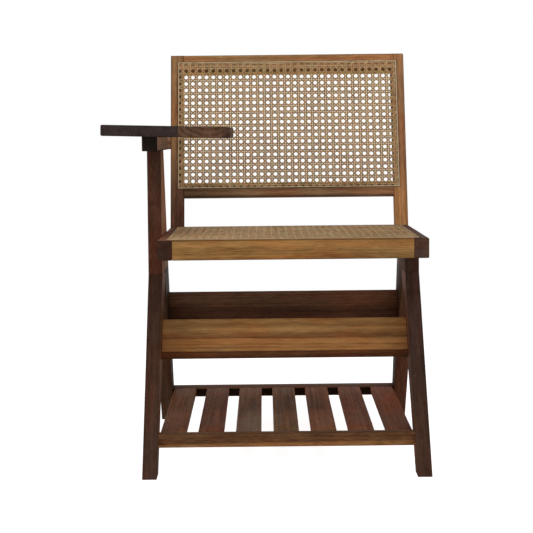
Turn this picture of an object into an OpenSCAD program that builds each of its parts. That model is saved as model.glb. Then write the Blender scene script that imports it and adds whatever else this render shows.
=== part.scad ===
// Writing chair: compass-leg side frames, cane seat and back, a fixed tablet on an arm rail,
// a book box under the seat and a slatted shelf near the floor. Sizes are in millimetres.
// The sitter faces -Y, +Z is up, and the origin is on the floor under the middle of the chair.
// The working frame of the sizes below starts at the front toes, midway across the seat.

/* [Seat] */
// Width over the outer faces of the side rails
seat_w = 530; // [490:1:570]
// Depth from the front edge to the face of the back posts
seat_d = 394; // [370:1:420]
// Height of the front top edge above the floor
seat_h = 445.5; // [425:0.5:480]
// Backward slope of the seat in degrees
seat_tilt = 0.95; // [0:0.05:2.5]
// Distance of the seat's front edge behind the front toes
seat_front = 114; // [90:1:140]
// Height of the seat rails
rail_h = 39.5; // [34:0.5:44]
// Width of the seat rails
rail_w = 29; // [27:0.5:34]
// Eased edge on the rails, posts and boards
ease = 1.6; // [0.5:0.1:2.5]

/* [Back] */
// Height of the back posts above the seat, along their slope
back_h = 400; // [370:1:430]
// Distance of each back post inside the outer face of the seat's side rail
back_inset = 0.5; // [0:0.5:8]
// Angle between the back and a square to the seat, in degrees
back_rake = 16; // [8:0.5:20]
// Width of the back posts
post_w = 29.5; // [27:0.5:34]
// Depth of the back posts, front to back
post_d = 28; // [26:0.5:36]
// Height of the top rail of the back
top_rail_h = 42; // [36:0.5:50]
// Height of the bottom rail of the back
low_rail_h = 30; // [28:0.5:40]
// Open gap between the seat and the bottom rail of the back
back_gap = 69; // [50:1:90]
// Thickness of the two rails of the back
back_rail_t = 18; // [17:0.5:26]

/* [Cane panels] */
// Thickness of the cane sheet
cane_t = 1.2; // [0.8:0.1:2]
// Spacing of the openings in the sheet
cane_pitch = 30.8; // [28:0.1:40]
// Width of one eight-sided opening
cane_hole = 19; // [14:0.5:23]
// Width of the groove that holds the sheet and its spline
groove_w = 5; // [4:0.1:6]
// Depth of that groove
groove_d = 6; // [5:0.5:7]
// Height of the spline above the wood
spline_proud = 2; // [1.6:0.1:3]
// Middle of the groove in from the outer edge of the seat
seat_groove_in = 19; // [14:0.5:20]
// Middle of the groove in from the outer edge of the back
back_groove_in = 18; // [14:0.5:20]
// Middle of the groove below the top edge of the back's bottom rail
low_groove_in = 9.2; // [7:0.1:12]
// Middle of the back groove from the top edge of the top rail
top_groove_in = 18; // [14:0.5:20]

/* [Side frames] */
// Thickness of the legs and uprights
leg_t = 28; // [24:0.5:32]
// Distance of the right side frame inside the outer face of the seat
right_inset = 6; // [0:0.5:8]
// Length of the front foot on the floor
front_foot = 42; // [36:1:50]
// Length of the rear foot on the floor
rear_foot = 40; // [34:1:50]
// Distance from the front toe to the front of the rear foot
rear_toe = 528; // [500:1:550]
// Height of the head piece between the legs' seam and the seat frame
head_drop = 41.5; // [38:0.5:52]
// Front edge of the head behind the front toe, at the seam
head_front = 240; // [220:1:255]
// Width of the head at the seam
head_w = 184; // [170:1:196]
// Width of the head at the level of the seat
neck_w = 150; // [130:1:165]
// Width of the top of the front leg
front_leg_top = 80; // [70:1:92]
// Height of the short mitre where the two legs touch under the head
mitre_h = 18; // [10:1:26]

/* [Arm and tablet] */
// Height of the arm rail's underside at its front end
arm_under_h = 617.5; // [595:0.1:640]
// Front end of the arm rail behind the front toes
arm_front = 165; // [145:1:185]
// Height of the arm rail at its inner edge
arm_h = 28; // [27:0.5:36]
// Reach of the arm rail outward past the side frame
arm_over = 2; // [0:0.5:5]
// Width of the arm post at its top
arm_post_top_w = 79; // [60:1:95]
// How far the front edge of the arm post leans back over its height
arm_post_lean = 18; // [0:1:30]
// Thickness of the tablet
tablet_t = 21.8; // [18:0.1:26]
// Overhang of the tablet in front of the arm rail
tablet_front = 35; // [15:1:60]
// Depth of the tablet, front to back
tablet_d = 320; // [300:1:360]
// Reach of the tablet outward from the arm rail's inner face
tablet_out = 108.5; // [90:0.5:130]
// Reach of the tablet inward from the arm rail's inner face
tablet_in = 144; // [120:1:170]
// Width of the inner of the tablet's two glued boards
tablet_board_w = 101; // [80:1:115]
// Sideways slope of the tablet in degrees, down towards the sitter
tablet_tilt = 1.64; // [0:0.02:3]
// Radius of the tablet's inner corners
tablet_inner_r = 22; // [10:1:34]
// Radius of the tablet's outer corners
tablet_outer_r = 8; // [4:1:20]

/* [Book box] */
// Height of the underside of the box
box_h = 199.3; // [185:0.1:215]
// Thickness of the bottom board
box_floor_t = 14.3; // [12:0.1:18]
// Thickness of the front board
box_front_t = 18; // [15:0.5:22]
// Thickness of the back board
box_back_t = 16; // [14:0.5:20]
// Height of the front board along its slope
box_front_h = 72.5; // [55:0.5:80]
// Height of the back board along its slope
box_back_h = 102; // [75:0.5:105]
// Lower front edge of the front board behind the front toes
box_front = 186; // [178:1:192]
// Lower rear edge of the back board behind the front toes
box_rear = 467; // [455:1:470]
// Backward slope of the front board in degrees
box_front_lean = 33.5; // [25:0.5:40]
// Forward slope of the back board in degrees
box_back_lean = 25.9; // [18:0.1:30]
// Step of the bottom board in front of the front board
box_lip = 2; // [0:0.5:6]
// Step of the bottom board behind the back board
box_rear_lip = 9; // [4:0.5:12]

/* [Shelf] */
// Height of the top of the slats
shelf_h = 76.7; // [72:0.1:84]
// Number of slats
slat_count = 7; // [5:1:9]
// Width of one slat
slat_w = 49.5; // [36:0.5:54]
// Thickness of one slat
slat_t = 12; // [10:0.5:14]
// Eased edge on the slats and the box's bottom board
slat_ease = 1; // [0.5:0.1:1.5]
// Gap between the outer slats and the legs
slat_edge = 3.5; // [2:0.5:14]
// Height of the shelf's front rail
shelf_front_h = 26.8; // [22:0.1:30]
// Depth of the shelf's front rail
shelf_front_d = 19; // [18:0.5:24]
// Front face of the shelf's front rail behind the front toes
shelf_front = 49; // [48:0.5:54]
// Height of the shelf's rear rail
shelf_rear_h = 19.5; // [16:0.5:22]
// Depth of the shelf's rear rail
shelf_rear_d = 42; // [36:0.5:44]
// Front face of the shelf's rear rail behind the front toes
shelf_rear = 499; // [494:1:502]
// Length of the tongue on each end of a slat
slat_tongue = 8; // [6:0.5:9]
// Thickness of that tongue
slat_tongue_t = 6; // [4:0.5:8]
// Shoulder at each side of that tongue
slat_shoulder = 4; // [2:0.5:8]

/* [Fixings] */
// Diameter of the large dowels
dowel_d = 8; // [6:0.5:9]
// Length of the large dowels
dowel_l = 34; // [26:1:36]
// Diameter of the small dowels
small_dowel_d = 6; // [5:0.5:7]
// Length of the small dowels
small_dowel_l = 28; // [22:1:32]
// How far the seat's rail dowels sit deeper in the rail than in the side rail
dowel_shift = 5; // [2:0.5:7]
// Clearance all round a dowel or screw in its hole
dowel_gap = 0.1; // [0.05:0.05:0.2]
// Shank diameter of the tablet screws
screw_d = 4.5; // [3.5:0.5:6]
// Head diameter of the tablet screws
screw_head_d = 9; // [7.5:0.5:11]
// Height of the countersunk screw head
screw_head_h = 3; // [2:0.5:4]
// Screw length held in the tablet
screw_bite = 14; // [10:0.5:15]
// Clearance of the slats' tongues in their mortises
housing_gap = 0.2; // [0.1:0.05:0.4]

/* [Hidden] */
$fn = 48;

golden = [0.56, 0.37, 0.20];
brown = [0.40, 0.26, 0.16];
dark = [0.24, 0.15, 0.11];
cane_colour = [0.78, 0.65, 0.44];

left_x = -seat_w / 2;
right_x = seat_w / 2;
leg_left_x = left_x - leg_t;
leg_right_x = right_x - right_inset - leg_t;
inner_w = leg_right_x - left_x;
back_w = seat_w - 2 * back_inset;
arm_in_x = -back_w / 2;
arm_out_x = leg_left_x - arm_over;
arm_w = arm_in_x - arm_out_x;
post_in = back_w / 2 - post_w;
rail_in = seat_w / 2 - rail_w;
lean = seat_tilt + back_rake;
post_y = seat_front + seat_d * cos(seat_tilt);
post_z = seat_h - seat_d * sin(seat_tilt);
low_rail_top = back_gap + low_rail_h;
top_rail_low = back_h - top_rail_h;
post_top_y = post_y + (back_h - ease) * sin(lean) + post_d * cos(lean);
rear_end = max(post_top_y, rear_toe + rear_foot);
tablet_left = arm_in_x - tablet_out * cos(tablet_tilt);
mid_x = (tablet_left + right_x) / 2;
mid_y = rear_end / 2;
seam_h = seat_h - rail_h - head_drop;
box_z = box_h + box_floor_t;
slat_pitch = (inner_w - 2 * slat_edge - slat_w) / (slat_count - 1);
slat_y0 = shelf_front + shelf_front_d;
slat_y1 = shelf_rear;
bore_over = 1;
through = 5;

// Height of the seat's top plane at a distance behind the front toes
function seat_top(y) = seat_h - (y - seat_front) * tan(seat_tilt);
// Height of the rails' underside at that distance
function seat_under(y) = seat_top(y) - rail_h / cos(seat_tilt);
// Height of the arm rail's underside at that distance
function arm_under(y) = arm_under_h - (y - arm_front) * tan(seat_tilt);
// Front edge of the head and arm post at a height
function head_front_y(z) = head_front + arm_post_lean * (z - seam_h) / (arm_under_h - seam_h);
neck_z = seat_top(head_front + head_w / 2);
neck_y = head_front_y(neck_z) + neck_w;
// Rear edge of the head at a height between the seam and the seat
function head_rear_y(z) =
    head_front + head_w + (neck_y - head_front - head_w) * (z - seam_h) / (neck_z - seam_h);
// Height along a back post where the underside of the seat crosses it, at a depth into the post
function post_foot(v) = (v * sin(back_rake) - rail_h) / cos(back_rake);
// Place across the chair of one slat, counted from zero
function slat_x(i) = left_x + slat_edge + i * slat_pitch;
arm_post_y = head_front_y(arm_under_h);
arm_rear = post_y + (arm_under_h - post_z) * tan(lean) + post_d / cos(lean);
arm_len = (arm_rear - arm_front) / cos(seat_tilt);
arm_pin_y = arm_rear - post_d / cos(lean) / 2;

// Frames that the sub-parts are drawn in

module on_floor() {
    translate([-mid_x, -mid_y, 0]) children();
}

module in_seat() {
    on_floor() translate([0, seat_front, seat_h]) rotate([-seat_tilt, 0, 0]) children();
}

module in_back() {
    in_seat() translate([0, seat_d, 0]) rotate([-back_rake, 0, 0]) children();
}

module in_arm() {
    on_floor() translate([0, arm_front, arm_under_h]) rotate([-seat_tilt, 0, 0]) children();
}

module in_tablet() {
    in_arm() translate([arm_in_x, 0, arm_h]) rotate([0, tablet_tilt, 0]) children();
}

// Shapes used by several sub-parts

// A bar along X whose long edges are eased
module bar_x(x0, x1, y0, y1, z0, z1, e = ease) {
    translate([x0, 0, 0]) rotate([90, 0, 90]) linear_extrude(x1 - x0)
        polygon([[y0 + e, z0], [y1 - e, z0], [y1, z0 + e], [y1, z1 - e],
            [y1 - e, z1], [y0 + e, z1], [y0, z1 - e], [y0, z0 + e]]);
}

// A bar along Y whose long edges are eased
module bar_y(x0, x1, y0, y1, z0, z1, e = ease) {
    translate([0, y1, 0]) rotate([90, 0, 0]) linear_extrude(y1 - y0)
        polygon([[x0 + e, z0], [x1 - e, z0], [x1, z0 + e], [x1, z1 - e],
            [x1 - e, z1], [x0 + e, z1], [x0, z1 - e], [x0, z0 + e]]);
}

// A bar along Z whose long edges are eased
module bar_z(x0, x1, y0, y1, z0, z1, e = ease) {
    translate([0, 0, z0]) linear_extrude(z1 - z0)
        polygon([[x0 + e, y0], [x1 - e, y0], [x1, y0 + e], [x1, y1 - e],
            [x1 - e, y1], [x0 + e, y1], [x0, y1 - e], [x0, y0 + e]]);
}

// A board seen from the side: its outline in Y and Z, from x0 to x1
module side_plate(x0, x1, outline) {
    translate([x0, 0, 0]) rotate([90, 0, 90]) linear_extrude(x1 - x0) polygon(outline);
}

// A flat rectangular ring with walls of width t, raised to height h
module frame_ring(x0, x1, y0, y1, t, h) {
    linear_extrude(h) difference() {
        translate([x0, y0]) square([x1 - x0, y1 - y0]);
        translate([x0 + t, y0 + t]) square([x1 - x0 - 2 * t, y1 - y0 - 2 * t]);
    }
}

// A dowel centred on the origin, along Z
module dowel_z(d, l) {
    cylinder(d = d, h = l, center = true);
}

// Cane panels. The panel's outline is the outer edge of its groove, in its own flat frame

module groove_cut(x0, x1, y0, y1) {
    translate([0, 0, -groove_d]) frame_ring(x0, x1, y0, y1, groove_w, groove_d + through);
}

module cane_sheet(x0, x1, y0, y1, open_x, open_y0, open_y1) {
    fold = groove_w - cane_t;
    cols = floor((2 * open_x - (cane_pitch - cane_hole)) / cane_pitch);
    rows = floor((open_y1 - open_y0 - (cane_pitch - cane_hole)) / cane_pitch);
    mid_row = (open_y0 + open_y1) / 2;
    translate([0, 0, -groove_d])
        frame_ring(x0 + fold, x1 - fold, y0 + fold, y1 - fold, cane_t, groove_d + cane_t);
    linear_extrude(cane_t) difference() {
        translate([x0 + fold, y0 + fold]) square([x1 - x0 - 2 * fold, y1 - y0 - 2 * fold]);
        for (i = [0 : cols - 1], j = [0 : rows - 1])
            translate([(i - (cols - 1) / 2) * cane_pitch, mid_row + (j - (rows - 1) / 2) * cane_pitch])
                rotate(22.5) circle(d = cane_hole / cos(22.5), $fn = 8);
    }
}

module spline_ring(x0, x1, y0, y1) {
    translate([0, 0, -groove_d])
        frame_ring(x0, x1, y0, y1, groove_w - cane_t, groove_d + spline_proud);
}

seat_x1 = seat_w / 2 - seat_groove_in + groove_w / 2;
seat_y0 = seat_groove_in - groove_w / 2;
seat_y1 = seat_d - rail_w / 2 + groove_w / 2;
back_x1 = back_w / 2 - back_groove_in + groove_w / 2;
back_y0 = low_rail_top - low_groove_in - groove_w / 2;
back_y1 = back_h - top_groove_in + groove_w / 2;

module seat_groove() {
    in_seat() groove_cut(-seat_x1, seat_x1, seat_y0, seat_y1);
}

// The back's panel lies on the front face, so its flat frame is stood up
module on_back_face() {
    in_back() rotate([90, 0, 0]) children();
}

module back_groove() {
    on_back_face() groove_cut(-back_x1, back_x1, back_y0, back_y1);
}

// Places of the dowels and screws; each module puts its child once at every place

module seat_dowel_places() {
    x = rail_in - dowel_shift;
    post_x = back_w / 2 - dowel_d;
    for (side = [-1, 1], drop = [0.3, 0.72]) {
        in_seat() translate([side * x, rail_w / 2, -drop * rail_h]) rotate([0, 90, 0]) children();
        in_seat() translate([side * x, seat_d - 0.62 * rail_w, -drop * rail_h])
            rotate([0, 90, 0]) children();
    }
    // The posts' dowels pass under the groove of the seat cane
    for (side = [-1, 1], drop = [0.47, 0.79])
        in_back() translate([side * post_x, 0, -drop * rail_h]) rotate([90, 0, 0]) children();
}

module back_dowel_places() {
    y = (groove_d + back_rail_t) / 2;
    for (side = [-1, 1], share = [0.28, 0.72]) {
        in_back() translate([side * post_in, y, top_rail_low + share * top_rail_h])
            rotate([0, 90, 0]) children();
        in_back() translate([side * post_in, y, back_gap + share * low_rail_h])
            rotate([0, 90, 0]) children();
    }
}

module seam_dowel_places(x) {
    rear_top = head_w - front_leg_top;
    for (y = [0.36 * front_leg_top, 0.76 * front_leg_top,
            front_leg_top + 0.3 * rear_top, front_leg_top + 0.68 * rear_top])
        on_floor() translate([x + leg_t / 2, head_front + y, seam_h]) children();
}

module left_rail_dowel_places() {
    for (share = [0.25, 0.5, 0.75]) {
        y = head_front + share * neck_w;
        on_floor() translate([left_x, y, seat_under(y) + rail_h / 2]) rotate([0, 90, 0]) children();
    }
}

module right_rail_dowel_places() {
    for (share = [0.16, 0.58]) {
        y = head_front + front_leg_top * 0.55 + share * (head_w - front_leg_top);
        on_floor() translate([leg_right_x + leg_t / 2, y, seat_under(y)])
            rotate([-seat_tilt, 0, 0]) children();
    }
}

module arm_post_dowel_places() {
    for (share = [0.28, 0.72]) {
        y = arm_post_y + share * arm_post_top_w;
        on_floor() translate([leg_left_x + leg_t / 2, y, arm_under(y)])
            rotate([-seat_tilt, 0, 0]) children();
    }
}

module arm_pin_place() {
    in_arm() translate([arm_in_x, (arm_pin_y - arm_front) / cos(seat_tilt), arm_h / 2])
        rotate([0, 90, 0]) children();
}

module box_dowel_places() {
    for (x = [left_x, leg_right_x], share = [0.27, 0.75]) {
        on_floor() translate([x, box_front, box_z]) rotate([-box_front_lean, 0, 0])
            translate([0, box_front_t / 2, share * box_front_h]) rotate([0, 90, 0]) children();
        on_floor() translate([x, box_rear, box_z]) rotate([box_back_lean, 0, 0])
            translate([0, -box_back_t / 2, share * box_back_h]) rotate([0, 90, 0]) children();
    }
}

module box_floor_dowel_places() {
    for (x = [left_x, leg_right_x], y = [box_front + 10, box_rear - 42, box_rear - 6])
        on_floor() translate([x, y, box_h + box_floor_t / 2]) rotate([0, 90, 0]) children();
}

module shelf_dowel_places() {
    front_y = shelf_front + (shelf_front_d - slat_tongue) / 2;
    rear_y = shelf_rear + slat_tongue;
    for (x = [left_x, leg_right_x], share = [0.26, 0.74]) {
        on_floor() translate([x, front_y, shelf_h - share * shelf_front_h])
            rotate([0, 90, 0]) children();
        on_floor() translate([x, rear_y + share * (shelf_rear_d - slat_tongue),
            shelf_h - shelf_rear_h / 2]) rotate([0, 90, 0]) children();
    }
}

// The arm post stands between the first two screws
module tablet_screw_places() {
    last = tablet_d - tablet_front;
    for (y = [0.1 * last, 0.76 * last, 0.93 * last])
        in_arm() translate([arm_in_x - arm_w / 2, y, 0]) children();
}

module bore(d = dowel_d, l = dowel_l) {
    cylinder(d = d + 2 * dowel_gap, h = l + bore_over, center = true);
}

module small_bore() {
    bore(small_dowel_d, small_dowel_l);
}

// A countersunk screw pointing up, its head at z = 0; grow widens it into its own hole
module tablet_screw(grow = 0) {
    r = screw_d / 2 + grow;
    cylinder(r1 = screw_head_d / 2 + grow, r2 = r, h = screw_head_h);
    cylinder(r = r, h = arm_h + screw_bite + grow);
}

// Seat

module side_rail_blank(x0) {
    intersection() {
        bar_y(x0, x0 + rail_w, -through, seat_d + through, -rail_h, 0);
        side_plate(x0 - 1, x0 + rail_w + 1, [
            [ease, 0], [seat_d, 0], [seat_d - rail_h * tan(back_rake), -rail_h],
            [ease, -rail_h], [0, -rail_h + ease], [0, -ease]
        ]);
    }
}

module seat_front_rail() {
    color(golden) difference() {
        in_seat() bar_x(-rail_in, rail_in, 0, rail_w, -rail_h, 0);
        seat_groove();
        seat_dowel_places() bore();
    }
}

module seat_back_rail() {
    color(brown) difference() {
        in_seat() side_plate(-rail_in, rail_in, [
            [seat_d - rail_w, 0], [seat_d, 0], [seat_d - rail_h * tan(back_rake), -rail_h],
            [seat_d - rail_w, -rail_h]
        ]);
        seat_groove();
        seat_dowel_places() bore();
    }
}

module seat_side_rail_left() {
    color(dark) difference() {
        in_seat() side_rail_blank(left_x);
        seat_groove();
        seat_dowel_places() bore();
        left_rail_dowel_places() bore();
    }
}

module seat_side_rail_right() {
    color(dark) difference() {
        in_seat() side_rail_blank(right_x - rail_w);
        seat_groove();
        seat_dowel_places() bore();
        right_rail_dowel_places() bore();
    }
}

module seat_cane() {
    color(cane_colour) in_seat()
        cane_sheet(-seat_x1, seat_x1, seat_y0, seat_y1, rail_in, rail_w, seat_d - rail_w);
}

module seat_spline() {
    color(cane_colour) in_seat() spline_ring(-seat_x1, seat_x1, seat_y0, seat_y1);
}

// Back

module back_post(x0) {
    difference() {
        in_back() intersection() {
            bar_z(x0, x0 + post_w, 0, post_d, -2 * rail_h, back_h);
            side_plate(x0 - 1, x0 + post_w + 1, [
                [0, post_foot(0)], [post_d, post_foot(post_d)], [post_d, back_h - ease],
                [post_d - ease, back_h], [ease, back_h], [0, back_h - ease]
            ]);
        }
        back_groove();
        seat_dowel_places() bore();
        back_dowel_places() bore();
    }
}

module back_post_left() {
    color(brown) difference() {
        back_post(-back_w / 2);
        arm_pin_place() bore();
    }
}

module back_post_right() {
    color(brown) back_post(back_w / 2 - post_w);
}

module back_rail(z0, h) {
    difference() {
        in_back() bar_x(-post_in, post_in, 0, back_rail_t, z0, z0 + h);
        back_groove();
        back_dowel_places() bore();
    }
}

module back_top_rail() {
    color(brown) back_rail(top_rail_low, top_rail_h);
}

module back_bottom_rail() {
    color(golden) back_rail(back_gap, low_rail_h);
}

module back_cane() {
    color(cane_colour) on_back_face()
        cane_sheet(-back_x1, back_x1, back_y0, back_y1, post_in, low_rail_top, top_rail_low);
}

module back_spline() {
    color(cane_colour) on_back_face() spline_ring(-back_x1, back_x1, back_y0, back_y1);
}

// Side frames

module arm_post_left() {
    top_rear = arm_post_y + arm_post_top_w;
    color(dark) difference() {
        on_floor() side_plate(leg_left_x, left_x, [
            [head_front, seam_h], [head_front + head_w, seam_h], [neck_y, neck_z],
            [top_rear, arm_under(top_rear)], [arm_post_y, arm_under(arm_post_y)]
        ]);
        seam_dowel_places(leg_left_x) bore();
        left_rail_dowel_places() bore();
        arm_post_dowel_places() bore();
    }
}

module leg_head_right() {
    front = head_front_y(seat_under(head_front));
    rear = head_rear_y(seat_under(neck_y));
    color(dark) difference() {
        on_floor() side_plate(leg_right_x, leg_right_x + leg_t, [
            [head_front, seam_h], [head_front + head_w, seam_h],
            [rear, seat_under(rear)], [front, seat_under(front)]
        ]);
        seam_dowel_places(leg_right_x) bore();
        right_rail_dowel_places() bore();
    }
}

module front_leg(x0) {
    difference() {
        on_floor() side_plate(x0, x0 + leg_t, [
            [0, 0], [front_foot, 0], [head_front + front_leg_top, seam_h - mitre_h],
            [head_front + front_leg_top, seam_h], [head_front, seam_h]
        ]);
        seam_dowel_places(x0) bore();
        box_dowel_places() bore();
        box_floor_dowel_places() small_bore();
        shelf_dowel_places() small_bore();
    }
}

module rear_leg(x0) {
    difference() {
        on_floor() side_plate(x0, x0 + leg_t, [
            [rear_toe, 0], [rear_toe + rear_foot, 0], [head_front + head_w, seam_h],
            [head_front + front_leg_top, seam_h], [head_front + front_leg_top, seam_h - mitre_h]
        ]);
        seam_dowel_places(x0) bore();
        box_dowel_places() bore();
        box_floor_dowel_places() small_bore();
        shelf_dowel_places() small_bore();
    }
}

module front_leg_left() {
    color(dark) front_leg(leg_left_x);
}

module front_leg_right() {
    color(dark) front_leg(leg_right_x);
}

module rear_leg_left() {
    color(dark) rear_leg(leg_left_x);
}

module rear_leg_right() {
    color(dark) rear_leg(leg_right_x);
}

// Arm rail and tablet

module arm_rail() {
    rise = arm_w * tan(tablet_tilt);
    x0 = arm_out_x;
    x1 = arm_in_x;
    color(dark) difference() {
        in_arm() translate([0, arm_len, 0]) rotate([90, 0, 0]) linear_extrude(arm_len)
            polygon([[x0 + ease, 0], [x1 - ease, 0], [x1, ease], [x1, arm_h],
                [x0, arm_h + rise], [x0, ease]]);
        arm_post_dowel_places() bore();
        arm_pin_place() bore();
        tablet_screw_places() tablet_screw(dowel_gap);
    }
}

// The part of the tablet's outline between two lines across it
module tablet_board(x0, x1) {
    y0 = -tablet_front;
    y1 = tablet_d - tablet_front;
    linear_extrude(tablet_t) intersection() {
        translate([x0, y0]) square([x1 - x0, tablet_d]);
        difference() {
            translate([-tablet_out, y0]) square([tablet_out + tablet_in, tablet_d]);
            for (end = [[y0, 1], [y1, -1]]) {
                corner_cut(-tablet_out, 1, end[0], end[1], tablet_outer_r);
                corner_cut(tablet_in, -1, end[0], end[1], tablet_inner_r);
            }
        }
    }
}

// What a rounded corner takes away; sx and sy point from the corner into the board
module corner_cut(x, sx, y, sy, r) {
    difference() {
        translate([x + sx * (r - 1) / 2, y + sy * (r - 1) / 2]) square(r + 1, center = true);
        translate([x + sx * r, y + sy * r]) circle(r);
    }
}

module tablet_outer_board() {
    color(dark) difference() {
        in_tablet() tablet_board(-tablet_out, tablet_in - tablet_board_w);
        tablet_screw_places() tablet_screw(dowel_gap);
    }
}

module tablet_inner_board() {
    color(brown) in_tablet() tablet_board(tablet_in - tablet_board_w, tablet_in);
}

module tablet_screws() {
    color("silver") tablet_screw_places() tablet_screw();
}

// Book box

module box_front_board() {
    s = sin(box_front_lean);
    c = cos(box_front_lean);
    color(golden) difference() {
        on_floor() side_plate(left_x, leg_right_x, [
            [box_front, box_z], [box_front + box_front_t / c, box_z],
            [box_front + box_front_h * s + box_front_t * c, box_z + box_front_h * c - box_front_t * s],
            [box_front + box_front_h * s, box_z + box_front_h * c]
        ]);
        box_dowel_places() bore();
    }
}

module box_back_board() {
    s = sin(box_back_lean);
    c = cos(box_back_lean);
    color(brown) difference() {
        on_floor() side_plate(left_x, leg_right_x, [
            [box_rear - box_back_t / c, box_z], [box_rear, box_z],
            [box_rear - box_back_h * s, box_z + box_back_h * c],
            [box_rear - box_back_h * s - box_back_t * c, box_z + box_back_h * c - box_back_t * s]
        ]);
        box_dowel_places() bore();
    }
}

module box_bottom_board() {
    color(dark) difference() {
        on_floor() bar_x(left_x, leg_right_x, box_front - box_lip, box_rear + box_rear_lip,
            box_h, box_z, slat_ease);
        box_floor_dowel_places() small_bore();
    }
}

// Shelf

// The tongues of one slat, or with grow the mortises that take them
module slat_tongues(x, grow = 0) {
    y0 = slat_y0 - slat_tongue - grow;
    y1 = slat_y1 + slat_tongue + grow;
    z0 = shelf_h - (slat_t + slat_tongue_t) / 2 - grow;
    on_floor() translate([x + slat_shoulder - grow, y0, z0])
        cube([slat_w - 2 * slat_shoulder + 2 * grow, y1 - y0, slat_tongue_t + 2 * grow]);
}

module shelf_rail(y0, d, h) {
    difference() {
        on_floor() bar_x(left_x, leg_right_x, y0, y0 + d, shelf_h - h, shelf_h);
        for (i = [0 : slat_count - 1])
            slat_tongues(slat_x(i), housing_gap);
        shelf_dowel_places() small_bore();
    }
}

module shelf_front_rail() {
    color(golden) shelf_rail(shelf_front, shelf_front_d, shelf_front_h);
}

module shelf_rear_rail() {
    color(dark) shelf_rail(shelf_rear, shelf_rear_d, shelf_rear_h);
}

module shelf_slat(number) {
    x = slat_x(number - 1);
    color(brown) {
        on_floor() bar_y(x, x + slat_w, slat_y0, slat_y1, shelf_h - slat_t, shelf_h, slat_ease);
        slat_tongues(x);
    }
}

// Dowels

module seat_frame_dowels() {
    color(cane_colour) seat_dowel_places() dowel_z(dowel_d, dowel_l);
}

module back_frame_dowels() {
    color(cane_colour) back_dowel_places() dowel_z(dowel_d, dowel_l);
}

module side_frame_dowels_left() {
    color(cane_colour) {
        seam_dowel_places(leg_left_x) dowel_z(dowel_d, dowel_l);
        left_rail_dowel_places() dowel_z(dowel_d, dowel_l);
    }
}

module side_frame_dowels_right() {
    color(cane_colour) {
        seam_dowel_places(leg_right_x) dowel_z(dowel_d, dowel_l);
        right_rail_dowel_places() dowel_z(dowel_d, dowel_l);
    }
}

module arm_dowels() {
    color(cane_colour) {
        arm_post_dowel_places() dowel_z(dowel_d, dowel_l);
        arm_pin_place() dowel_z(dowel_d, dowel_l);
    }
}

module book_box_dowels() {
    color(cane_colour) {
        box_dowel_places() dowel_z(dowel_d, dowel_l);
        box_floor_dowel_places() dowel_z(small_dowel_d, small_dowel_l);
    }
}

module shelf_dowels() {
    color(cane_colour) shelf_dowel_places() dowel_z(small_dowel_d, small_dowel_l);
}

seat_front_rail();
seat_back_rail();
seat_side_rail_left();
seat_side_rail_right();
seat_cane();
seat_spline();
back_post_left();
back_post_right();
back_top_rail();
back_bottom_rail();
back_cane();
back_spline();
arm_post_left();
leg_head_right();
front_leg_left();
front_leg_right();
rear_leg_left();
rear_leg_right();
arm_rail();
tablet_outer_board();
tablet_inner_board();
tablet_screws();
box_front_board();
box_back_board();
box_bottom_board();
shelf_front_rail();
shelf_rear_rail();
shelf_slat(1);  // shelf_slat_1
shelf_slat(2);  // shelf_slat_2
shelf_slat(3);  // shelf_slat_3
shelf_slat(4);  // shelf_slat_4
shelf_slat(5);  // shelf_slat_5
shelf_slat(6);  // shelf_slat_6
shelf_slat(7);  // shelf_slat_7
seat_frame_dowels();
back_frame_dowels();
side_frame_dowels_left();
side_frame_dowels_right();
arm_dowels();
book_box_dowels();
shelf_dowels();
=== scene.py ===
"""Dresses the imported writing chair: oiled wood with its own grain, woven cane, reed splines and a studio.

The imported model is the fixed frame. Lengths are in metres, the sitter faces -Y and +Z is up.
"""

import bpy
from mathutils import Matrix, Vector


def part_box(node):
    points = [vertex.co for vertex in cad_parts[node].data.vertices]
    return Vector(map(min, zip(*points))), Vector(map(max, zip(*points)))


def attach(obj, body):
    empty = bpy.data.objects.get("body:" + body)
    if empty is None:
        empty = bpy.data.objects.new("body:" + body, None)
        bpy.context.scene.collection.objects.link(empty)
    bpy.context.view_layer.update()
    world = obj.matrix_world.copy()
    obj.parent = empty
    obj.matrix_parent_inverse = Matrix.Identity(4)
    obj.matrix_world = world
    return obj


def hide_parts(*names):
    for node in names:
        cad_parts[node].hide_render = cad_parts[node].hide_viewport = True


bl_info = {
    "name": "Writing Chair",
    "version": (1, 0, 0),
    "blender": (4, 5, 0),
    "location": "3D View > Sidebar > Writing Chair",
    "description": "Oiled wood, woven cane and a studio for the packed writing chair",
    "category": "Object",
}

import random
from math import ceil, cos, floor, pi, radians, sin, tau

import bmesh
import bpy
from bpy.props import FloatProperty, FloatVectorProperty, PointerProperty
from mathutils import Matrix, Vector

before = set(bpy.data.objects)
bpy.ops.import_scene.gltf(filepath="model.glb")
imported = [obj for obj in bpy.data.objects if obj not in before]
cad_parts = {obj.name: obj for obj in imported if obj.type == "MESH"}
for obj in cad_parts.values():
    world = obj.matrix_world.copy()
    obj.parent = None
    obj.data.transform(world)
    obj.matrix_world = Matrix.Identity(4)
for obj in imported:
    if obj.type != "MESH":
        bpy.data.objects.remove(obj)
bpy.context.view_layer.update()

ALONG_X = Vector((1, 0, 0))
TO_FRONT = Vector((0, -1, 0))
TO_REAR = Vector((0, 1, 0))
UP = Vector((0, 0, 1))
# How the front legs, the rear legs and the arm post lean
FRONT_LEAN = Vector((0, 0.259, 0.363))
REAR_LEAN = Vector((0, -0.176, 0.363))
POST_LEAN = Vector((0, -0.035, 0.250))

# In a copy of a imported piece, points this close are merged, and edges this flat vanish
MERGE_DISTANCE = 0.00002
FLAT_ANGLE = radians(0.6)
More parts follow.
